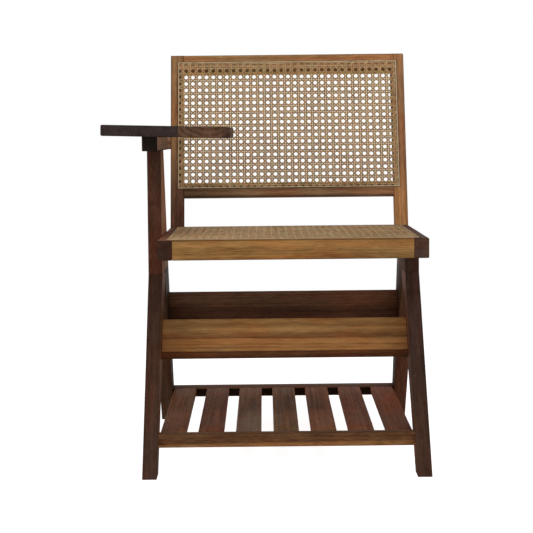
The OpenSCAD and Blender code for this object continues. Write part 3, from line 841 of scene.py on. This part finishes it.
class CHAIR_OT_seat_rails(bpy.types.Operator):
    """Dress the four rails of the seat."""

    bl_idname = "chair.seat_rails"
    bl_label = "Seat rails"

    def execute(self, context):
        seat = seat_frame()
        back_along, top = direction(seat, TO_REAR), direction(seat, UP)
        golden = finish("golden_oiled_wood"), "wood_golden"
        brown = finish("brown_oiled_wood"), "wood_brown"
        dark = finish("dark_oiled_wood"), "wood_dark"
        duller_right = ((-0.05, (0.97, 0.94, 0.81)), (0.24, (0.81, 0.84, 0.77)))
        wood_piece("seat_front_rail", golden, ALONG_X, TO_FRONT, tone=duller_right, edges=0.5)
        wood_piece("seat_back_rail", brown, ALONG_X, top, tone=0.6)
        # The top of a side rail has a tone of its own: painted light, strongest on the left rail, which the
        # tablet shades
        left = {"tone": 1.1, "ends": 0.67, "inner": (4.0, 3.7, 3.4)}
        right = {"tone": (1.18, 1.31, 1.45), "ends": 1.05, "inner": 1.1, "heart": (0.03, -0.02)}
        for side, look in (("left", left), ("right", right)):
            wood_piece("seat_side_rail_" + side, dark, back_along, top, inwards=top, **look)
        return {"FINISHED"}


class CHAIR_OT_back_rails(bpy.types.Operator):
    """Dress the posts and rails of the back."""

    bl_idname = "chair.back_rails"
    bl_label = "Back frame"

    def execute(self, context):
        back = back_frame()
        up, front = direction(back, UP), direction(back, TO_FRONT)
        golden = finish("golden_oiled_wood")
        upper, lower = (golden, "wood_brown"), (golden, "wood_golden")
        # Painted shadow of the tablet on the left post's lower part, and painted light on the right post
        shaded_left = ((-0.16, (0.50, 0.42, 0.70)), (0.03, (1.10, 1.20, 1.42)))
        lit_right = (
            (-0.17, (1.33, 1.42, 1.55)),
            (-0.02, (0.92, 0.92, 1.16)),
            (0.15, (0.95, 0.92, 1.15)),
            (0.19, (1.25, 1.15, 1.32)),
        )
        reddish_right = ((0.0, (1.42, 1.55, 1.78)), (0.21, (1.34, 1.28, 1.45)))
        dark_left = ((-0.24, (0.39, 0.40, 0.54)), (-0.05, (0.74, 0.78, 1.05)))
        # The edges of the posts and the top rail are darkened as painted shade
        painted_shading = {"edges": 0.40, "radius": 0.0012}
        for side, tone, outer in (("left", shaded_left, -ALONG_X), ("right", lit_right, ALONG_X)):
            ends = {"outwards": (up, outer), "corner": (up, outer)}
            wood_piece("back_post_" + side, upper, up, front, tone=tone, **ends, **painted_shading)
        wood_piece("back_top_rail", upper, ALONG_X, front, tone=reddish_right, outwards=(up,), **painted_shading)
        wood_piece("back_bottom_rail", lower, ALONG_X, front, tone=dark_left, edges=0.6)
        return {"FINISHED"}


class CHAIR_OT_side_frames(bpy.types.Operator):
    """Dress the legs, the right head and the arm post."""

    bl_idname = "chair.side_frames"
    bl_label = "Side frames"

    def execute(self, context):
        dark = finish("dark_oiled_wood"), "wood_dark"
        left = {
            "front": ((-0.10, 1.12), (0.12, 1.0)),
            "inner_top": (4.1, 3.4, 2.5),
            "rear": (1.45, 1.52, 1.25),
        }
        right = {
            "front": ((-0.18, (1.12, 1.2, 1.2)), (-0.02, (0.77, 0.88, 0.97)), (0.12, (1.0, 1.0, 1.16))),
            "inner_top": (4.4, 3.6, 2.8),
            "rear": (1.7, 1.55, 1.2),
        }
        for side, legs, inwards in (("left", left, ALONG_X), ("right", right, -ALONG_X)):
            # The legs' inner faces are painted light from the side, fading lower down
            inner = tuple((place, times(legs["inner_top"], share)) for place, share in INNER_LEG_SHARES)
            front = {"tone": legs["front"], "broad": 1.5, "inwards": inwards, "inner": inner}
            rear = {"tone": legs["rear"], "inwards": inwards, "inner": (0.84, 0.98, 1.05)}
            wood_piece("front_leg_" + side, dark, FRONT_LEAN, ALONG_X, **front)
            wood_piece("rear_leg_" + side, dark, REAR_LEAN, ALONG_X, **rear)
        # The head's and the arm post's inner sides are painted light too
        head = {"tone": 0.8, "broad": 1.8, "inwards": -ALONG_X, "inner": 3.0}
        wood_piece("leg_head_right", dark, POST_LEAN, ALONG_X, **head)
        reddish_foot = (
            (-0.105, (1.41, 1.17, 1.05)),
            (-0.05, (1.66, 1.30, 1.16)),
            (0.03, (1.60, 1.28, 1.18)),
            (0.09, (1.16, 1.06, 1.02)),
        )
        post = {"tone": reddish_foot, "broad": 1.5, "inwards": ALONG_X, "inner": (4.1, 4.9, 4.2)}
        wood_piece("arm_post_left", dark, POST_LEAN, ALONG_X, **post)
        return {"FINISHED"}


class CHAIR_OT_arm_and_tablet(bpy.types.Operator):
    """Dress the arm rail and the tablet's two boards."""

    bl_idname = "chair.arm_and_tablet"
    bl_label = "Arm and tablet"

    def execute(self, context):
        dark = finish("dark_oiled_wood"), "wood_dark"
        figured = finish("figured_brown_wood"), "wood_brown"
        back_along = direction(seat_frame(), TO_REAR)
        # The arm rail's inner side is painted light where the tablet shades it, and the boards' rims are
        # darkened as painted shade
        arm = {"ends": (0.28, 0.39, 0.43), "narrow": 1.6, "inwards": ALONG_X, "inner": (6.0, 7.4, 7.4)}
        rim = {"ends": 0.9, "edges": 0.75, "radius": 0.0030}
        outer = {"tone": (0.71, 1.09, 1.58), "glued": ALONG_X}
        inner = {"tone": (1.02, 1.24, 1.25), "glued": -ALONG_X, "heart": (0.01, -0.06)}
        wood_piece("arm_rail", dark, back_along, UP, tone=1.1, **arm)
        wood_piece("tablet_outer_board", dark, back_along, UP, **outer, **rim)
        wood_piece("tablet_inner_board", figured, back_along, UP, **inner, **rim)
        return {"FINISHED"}


class CHAIR_OT_book_box(bpy.types.Operator):
    """Dress the three boards of the book box."""

    bl_idname = "chair.book_box"
    bl_label = "Book box"

    def execute(self, context):
        banded = finish("banded_golden_wood"), "wood_golden"
        two_tone = finish("two_tone_board"), "wood_brown"
        brown = finish("brown_oiled_wood"), "wood_dark"
        centred = {"heart": (0.0, 0.05), "start": 0.0}
        # Painted light on the back board, stronger to the right
        lit_right = ((-0.2, (2.4, 2.05, 1.78)), (0.2, (2.75, 2.3, 1.95)))
        wood_piece("box_front_board", banded, ALONG_X, TO_FRONT, tone=(1.50, 1.48, 1.39), **centred)
        wood_piece("box_back_board", two_tone, ALONG_X, TO_FRONT, tone=lit_right, **centred)
        wood_piece("box_bottom_board", brown, ALONG_X, UP, tone=(0.92, 0.69, 0.45))
        return {"FINISHED"}


class CHAIR_OT_shelf(bpy.types.Operator):
    """Dress the shelf's rails and slats."""

    bl_idname = "chair.shelf"
    bl_label = "Shelf"

    def execute(self, context):
        edged = finish("sap_edged_wood"), "wood_golden"
        brown = finish("brown_oiled_wood")
        front = {"tone": (1.24, 1.19, 1.16), "heart": (0.0, 0.04), "start": 0.0}
        # The rear rail's front face is darkened as painted shadow beneath the slats
        rear = {"tone": (1.95, 1.72, 1.34), "narrow": 0.10, "edges": 1.0}
        wood_piece("shelf_front_rail", edged, ALONG_X, TO_FRONT, **front)
        wood_piece("shelf_rear_rail", (brown, "wood_dark"), ALONG_X, UP, **rear)
        for number, tone in enumerate(SLAT_TONES, 1):
            # Each slat is lighter towards the rear, as a painted reflection
            painted_shading = ((-0.15, tone), (0.12, times(tone, SLAT_REAR_REFLECTION)))
            wood_piece("shelf_slat_%d" % number, (brown, "wood_brown"), TO_REAR, UP, tone=painted_shading, edges=1.0)
        return {"FINISHED"}


# The woven cane


def wave_points(stops, low, high):
    """Adds the panel's two edges to a strand's stops and keeps those between."""
    inner = [s for s in stops if low < s[0] < high]
    if not inner:
        return [(low, 0.0), (high, 0.0)]
    return [(low, inner[0][1] * EDGE_RISE), *inner, (high, inner[-1][1] * EDGE_RISE)]


def pair_strands(panel, axis, weave):
    """The strands of the pairs that run along one axis, 0 across and 1 up.

    Each goes over one crossing strand and under the next.
    """
    half = weave.pair_spacing / 2
    crossings = panel.pair_lines(axis)
    middles = panel.pair_lines(1 - axis)
    if axis == 0 and panel.extra_pair is not None:
        middles.append(panel.extra_pair)
    strands = []
    for middle in middles:
        for side in (-1, 1):
            stops = []
            for crossing in crossings:
                for crossed in (-1, 1):
                    over = side * crossed * (1 if axis else -1)
                    stops.append((crossing + crossed * half, over * weave.pair_wave))
                stops.append((crossing + panel.spacing[axis] / 2, 0.0))
            line = middle + side * half
            points = []
            for place, height in wave_points(stops, panel.low[axis], panel.high[axis]):
                points.append((place, line, height) if axis == 0 else (line, place, height))
            strands.append(points)
    return strands


def diagonal_strands(panel, rising, weave):
    """The strands that run from corner to corner of the eyes.

    Rising ones go over the upright pairs and under the others, and falling ones the reverse.
    """
    step_x, step_y = panel.spacing
    turn = 1 if rising else -1
    slope = turn * step_y / step_x
    upright_x = panel.pair_lines(0)[0]
    reach = weave.pair_spacing * DIAGONAL_REACH
    strands = []
    width = panel.high[0] - panel.low[0]
    height = panel.high[1] - panel.low[1]
    count = ceil((width / step_x) + (height / step_y)) + SPARE_ROWS
    for row in range(-count, count + 1):
        base = panel.eye[1] + row * step_y
        ends = sorted(upright_x + (y - base) / slope for y in (panel.low[1], panel.high[1]))
        x0, x1 = max(panel.low[0], ends[0]), min(panel.high[0], ends[1])
        if x1 - x0 < step_x * SHORTEST_DIAGONAL:
            continue
        stops = []
        first = ceil((x0 - upright_x) / (step_x / 2))
        last = floor((x1 - upright_x) / (step_x / 2))
        for crossing in range(first, last + 1):
            x = upright_x + crossing * step_x / 2
            over = (1 if crossing % 2 == 0 else -1) * turn
            for shift in (-reach, reach):
                stops.append((x + shift, over * weave.diagonal_wave))
        points = wave_points(stops, x0, x1)
        strands.append([(x, base + slope * (x - upright_x), rise) for x, rise in points])
    return strands


def strand_mesh(name, strands, weave):
    """Sweeps a flat, rounded strand along each line of points."""
    curve = bpy.data.curves.new(name, "CURVE")
    curve.dimensions = "3D"
    curve.twist_mode = "Z_UP"
    curve.bevel_depth = weave.strand_thickness / 2
    curve.extrude = weave.strand_width / 2 - curve.bevel_depth
    curve.bevel_resolution = 0
    curve.use_fill_caps = True
    for points in strands:
        spline = curve.splines.new("POLY")
        spline.points.add(len(points) - 1)
        spline.points.foreach_set("co", [c for p in points for c in (*p, 1.0)])
        spline.points.foreach_set("tilt", [pi / 2] * len(points))
        spline.use_smooth = True
    holder = new_object(name, curve)
    mesh = bpy.data.meshes.new_from_object(holder.evaluated_get(bpy.context.evaluated_depsgraph_get()))
    bpy.data.objects.remove(holder)
    bpy.data.curves.remove(curve)
    return mesh


def weave_family(panel, name, strands, along, weave):
    """One direction of strands of a panel, as one piece."""
    mesh = strand_mesh(name, strands, weave)
    write_grain(mesh, Vector(along).normalized(), UP, Vector((0, 0, 0)), (0, 0, 0))
    values = [part for vertex in mesh.vertices for part in panel.tone_of(vertex.co.x, vertex.co.y)]
    write_attribute(mesh, "tone", "POINT", values)
    mesh.transform(panel.matrix @ Matrix.Translation((0, 0, weave.lift)))
    mesh.shade_smooth()
    mesh.set_sharp_from_angle(angle=CANE_SHARP_FROM)
    mesh.validate()
    return finish_piece(name, mesh, finish("peeled_cane"), panel.node)


def weave_panel(panel):
    """Weaves the four directions of strands of a panel."""
    weave = settings("cane_sizes")
    step_x, step_y = panel.spacing
    families = {
        "_crossways": (pair_strands(panel, 0, weave), (1, 0, 0)),
        "_lengthways": (pair_strands(panel, 1, weave), (0, 1, 0)),
        "_rising": (diagonal_strands(panel, True, weave), (step_x, step_y, 0)),
        "_falling": (diagonal_strands(panel, False, weave), (step_x, -step_y, 0)),
    }
    for name, (strands, along) in families.items():
        weave_family(panel, panel.name + name, strands, along, weave)


class CHAIR_OT_cane_panels(bpy.types.Operator):
    """Weave the seat and the back."""

    bl_idname = "chair.cane_panels"
    bl_label = "Cane panels"

    def execute(self, context):
        for panel in cane_panels():
            weave_panel(panel)
        return {"FINISHED"}


class CHAIR_OT_splines(bpy.types.Operator):
    """Round the reed splines that hold the cane."""

    bl_idname = "chair.splines"
    bl_label = "Splines"

    def execute(self, context):
        back, seat = cane_panels()
        self.round_spline("back_spline", back, proud_share=1.0)
        self.round_spline("seat_spline", seat, proud_share=0.5)
        return {"FINISHED"}

    @staticmethod
    def round_spline(node, panel, proud_share):
        """Rounds a spline and makes it narrower than its groove, so that a dark gap shows beside it.

        Its front and side runs keep a share of their height above the wood.
        """
        bm = eased_copy(node, REED_RADIUS)
        to_panel = panel.matrix.inverted()
        rear = panel.high[1] - GROOVE_WIDTH
        for vertex in bm.verts:
            place = to_panel @ vertex.co
            if place.z > 0 and place.y < rear:
                place.z *= proud_share
            for axis in (0, 1):
                for middle, inwards in ((panel.low[axis], 1), (panel.high[axis], -1)):
                    offset = place[axis] - middle
                    if abs(offset) < GROOVE_WIDTH:
                        place[axis] = middle + offset * SPLINE_SHARE + inwards * SPLINE_SHIFT
            vertex.co = panel.matrix @ place
        reed = finish_piece(node + "_reed", new_mesh(node + "_reed", bm), finish("split_reed"), node)
        values = []
        for polygon in reed.data.polygons:
            dark = panel.node == "seat_cane" and (to_panel @ polygon.center).y > rear
            values += DARK_REED_TONE if dark else REED_TONE
        write_attribute(reed.data, "face_tone", "FACE", values)


class CHAIR_OT_fixings(bpy.types.Operator):
    """Give the dowels and screws their materials."""

    bl_idname = "chair.fixings"
    bl_label = "Fixings"

    def execute(self, context):
        for name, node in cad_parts.items():
            if name.endswith("_dowels") or "_dowels_" in name:
                self.assign(node, finish("turned_dowel"))
        self.assign(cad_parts["tablet_screws"], finish("zinc_steel"))
        return {"FINISHED"}

    @staticmethod
    def assign(node, material):
        for slot in node.material_slots:
            slot.material = material


# The studio


def white_strength(n, on_chair, in_gloss, to_camera=1.0):
    """How bright white surroundings are: to the camera, in the chair's gloss, and as light on the chair."""
    path = n.add("LightPath")
    gloss = n.math("MULTIPLY", path.outputs["Is Glossy Ray"], in_gloss - on_chair)
    camera = n.math("MULTIPLY", path.outputs["Is Camera Ray"], to_camera - on_chair)
    return n.math("ADD", n.math("ADD", gloss, camera), on_chair)


def floor_material(colour, reflected):
    """Pale floor: it takes the chair's shadow near the chair and fades to the white backdrop further out."""
    n = Nodes.of_material("pale_floor")
    distance = n.add("VectorMath", {0: n.object_place()}, operation="LENGTH")
    fade = n.spread(distance.outputs["Value"], *FLOOR_FADE)
    matt = n.add("BsdfDiffuse", {"Color": (*colour, 1)})
    near = white_strength(n, FLOOR_BOUNCE, FLOOR_BOUNCE, FLOOR_SEEN)
    glow = n.add("Emission", {"Strength": near})
    lifted = n.add("AddShader", {0: matt.outputs["BSDF"], 1: glow.outputs["Emission"]})
    white = n.add("Emission", {"Strength": white_strength(n, FLOOR_FAR, reflected)})
    layers = {"Fac": fade, 1: lifted.outputs["Shader"], 2: white.outputs["Emission"]}
    return n.show(n.add("MixShader", layers).outputs["Shader"])


def softbox(name, place, target, size, power):
    light = bpy.data.lights.new(name, "AREA")
    light.shape = "RECTANGLE"
    light.size, light.size_y = size
    light.energy = power
    holder = new_object(name, light)
    holder.location = place
    holder.rotation_euler = (Vector(target) - Vector(place)).to_track_quat("-Z", "Y").to_euler()


class CHAIR_OT_stage(bpy.types.Operator):
    """Set the floor, the light and the camera."""

    bl_idname = "chair.stage"
    bl_label = "Stage"

    def execute(self, context):
        stage = settings("stage_settings")
        self.lay_floor(stage)
        self.light(stage)
        self.place_camera(stage)
        context.scene.view_settings.view_transform = "Standard"
        return {"FINISHED"}

    @staticmethod
    def lay_floor(stage):
        bm = bmesh.new()
        bmesh.ops.create_circle(bm, cap_ends=True, radius=FLOOR_RADIUS, segments=FLOOR_SEGMENTS)
        mesh = new_mesh("studio_floor", bm)
        mesh.materials.append(floor_material(stage.floor_colour, stage.reflected))
        new_object("studio_floor", mesh)

    @staticmethod
    def light(stage):
        for name, (place, target, size, power) in SOFTBOXES.items():
            softbox(name, place, target, size, getattr(stage, power))
        world = bpy.data.worlds.new("white_studio")
        bpy.context.scene.world = world
        n = Nodes(world, "OutputWorld")
        strength = white_strength(n, stage.ambient, stage.reflected)
        n.show(n.add("Background", {"Color": (1, 1, 1, 1), "Strength": strength}).outputs[0])

    @staticmethod
    def place_camera(stage):
        pitch, yaw, roll = stage.camera_pitch, stage.camera_yaw, stage.camera_roll
        ahead = Vector((sin(yaw) * cos(pitch), cos(yaw) * cos(pitch), -sin(pitch)))
        level = Vector((cos(yaw), -sin(yaw), 0))
        over = level.cross(ahead)
        right = cos(roll) * level - sin(roll) * over
        up = cos(roll) * over + sin(roll) * level
        data = bpy.data.cameras.new("studio_camera")
        data.lens, data.sensor_width = stage.lens, SENSOR_WIDTH
        camera = new_object("studio_camera", data)
        turn = Matrix((right, up, -ahead)).transposed().to_4x4()
        camera.matrix_world = Matrix.Translation(stage.camera_place) @ turn
        bpy.context.scene.camera = camera


class CHAIR_PT_panel(bpy.types.Panel):
    """The pieces of the chair, in the order they are made."""

    bl_idname = "CHAIR_PT_panel"
    bl_label = "Writing Chair"
    bl_space_type = "VIEW_3D"
    bl_region_type = "UI"
    bl_category = "Writing Chair"

    def draw(self, context):
        for operator in OPERATORS:
            self.layout.operator(operator.bl_idname)
        for group in GROUPS:
            box = self.layout.box()
            values = getattr(context.scene, group)
            for name in values.__annotations__:
                box.prop(values, name)


GROUPS = {
    "chair_sizes": ChairSizes,
    "cane_sizes": CaneSizes,
    "chair_finishes": ChairFinishes,
    "stage_settings": StageSettings,
}
OPERATORS = (
    CHAIR_OT_seat_rails,
    CHAIR_OT_back_rails,
    CHAIR_OT_side_frames,
    CHAIR_OT_arm_and_tablet,
    CHAIR_OT_book_box,
    CHAIR_OT_shelf,
    CHAIR_OT_cane_panels,
    CHAIR_OT_splines,
    CHAIR_OT_fixings,
    CHAIR_OT_stage,
)


def register():
    for name, group in GROUPS.items():
        bpy.utils.register_class(group)
        setattr(bpy.types.Scene, name, PointerProperty(type=group))
    for operator in OPERATORS:
        bpy.utils.register_class(operator)
    bpy.utils.register_class(CHAIR_PT_panel)


def unregister():
    bpy.utils.unregister_class(CHAIR_PT_panel)
    for operator in reversed(OPERATORS):
        bpy.utils.unregister_class(operator)
    for name, group in reversed(GROUPS.items()):
        delattr(bpy.types.Scene, name)
        bpy.utils.unregister_class(group)


def main():
    register()
    bpy.ops.chair.seat_rails()
    bpy.ops.chair.back_rails()
    bpy.ops.chair.side_frames()
    bpy.ops.chair.arm_and_tablet()
    bpy.ops.chair.book_box()
    bpy.ops.chair.shelf()
    bpy.ops.chair.cane_panels()
    bpy.ops.chair.splines()
    bpy.ops.chair.fixings()
    bpy.ops.chair.stage()


if __name__ == "__main__":
    main()
